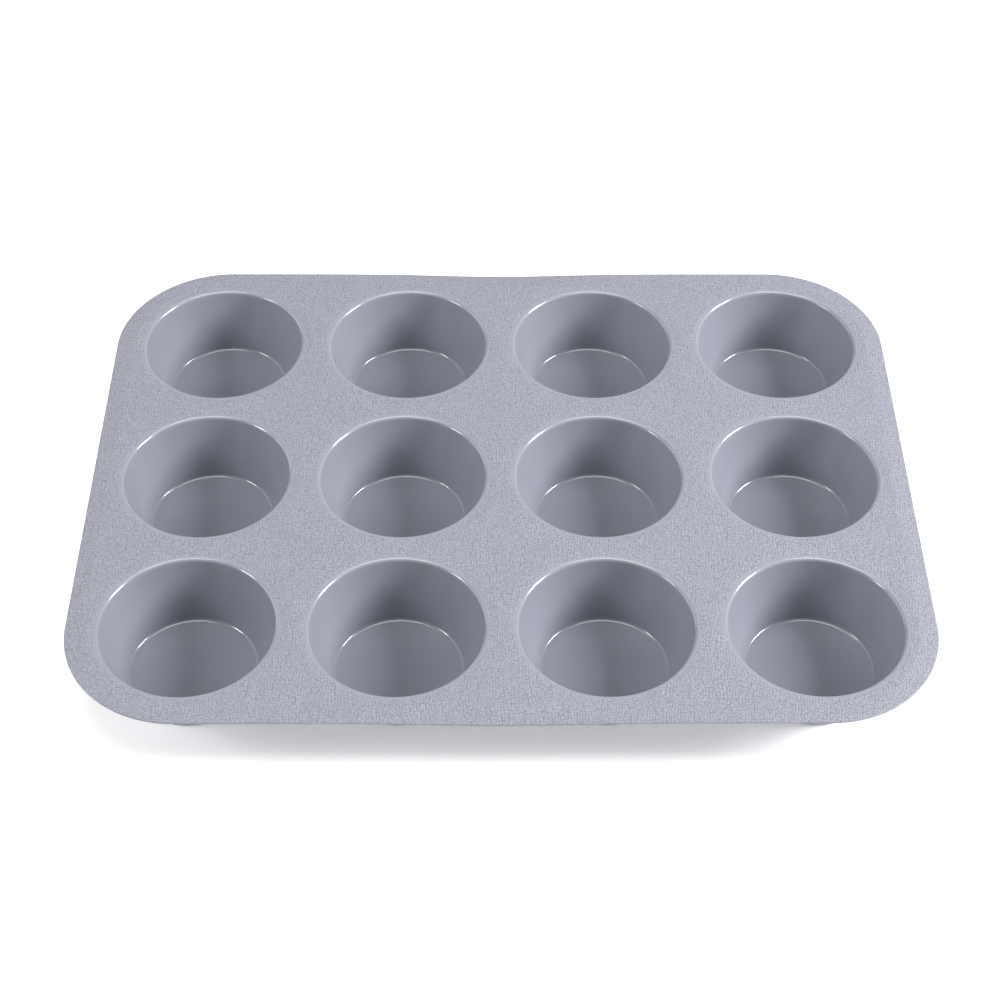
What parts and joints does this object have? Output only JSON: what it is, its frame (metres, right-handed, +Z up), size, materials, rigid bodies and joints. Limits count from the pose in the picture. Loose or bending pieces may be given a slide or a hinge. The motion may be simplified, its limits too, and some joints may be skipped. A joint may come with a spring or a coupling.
{
  "type": "muffin pan",
  "caption": "Moulded silicone muffin pan with tapered round cups in rows, a grained flat deck and a rim that holds a steel ring.",
  "frame": {"origin": "centre of the pan on the plane that the cups stand on", "axes": "+X along the long side, towards the right-hand cups; +Y towards the back row; +Z up, out of the cups' mouths"},
  "size_m": [0.3328, 0.2528, 0.0285],
  "materials": {
    "silicone_grained": "fine pebble grain, matt",
    "silicone_rim": "fine pebble grain, matt",
    "silicone_polished": "smooth satin",
    "spring_steel": "drawn wire"
  },
  "bodies": {
    "root": {"deck": "silicone_grained", "rim": "silicone_rim", "rim_ring": "spring_steel", "cup_front_1": "silicone_polished", "cup_front_2": "silicone_polished", "cup_front_3": "silicone_polished", "cup_front_4": "silicone_polished", "cup_middle_1": "silicone_polished", "cup_middle_2": "silicone_polished", "cup_middle_3": "silicone_polished", "cup_middle_4": "silicone_polished", "cup_back_1": "silicone_polished", "cup_back_2": "silicone_polished", "cup_back_3": "silicone_polished", "cup_back_4": "silicone_polished"}
  },
  "joints": []
}
